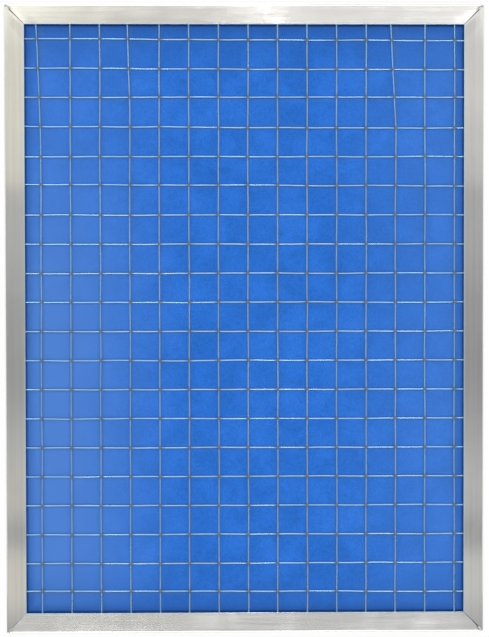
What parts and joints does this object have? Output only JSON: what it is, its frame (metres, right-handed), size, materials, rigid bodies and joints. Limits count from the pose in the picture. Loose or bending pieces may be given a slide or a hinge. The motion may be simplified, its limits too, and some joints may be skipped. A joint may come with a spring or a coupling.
{
  "type": "flat panel air filter",
  "caption": "Flat panel air filter: a blue fibre pad held between welded wire meshes in a thin aluminium channel frame with mitred corners.",
  "frame": {"origin": "under the middle of the panel, on the plane of its rear face", "axes": "+X across the panel, +Y along its length, +Z through its depth towards the front face"},
  "size_m": [0.4158, 0.5462, 0.0095],
  "materials": {
    "frame": "satin",
    "wire": "gloss",
    "media": "matte"
  },
  "bodies": {
    "root": {"frame_channel": "frame", "front_line_wires": "wire", "front_cross_wires": "wire", "media_pad": "media", "rear_cross_wires": "wire", "rear_line_wires": "wire"}
  },
  "joints": []
}
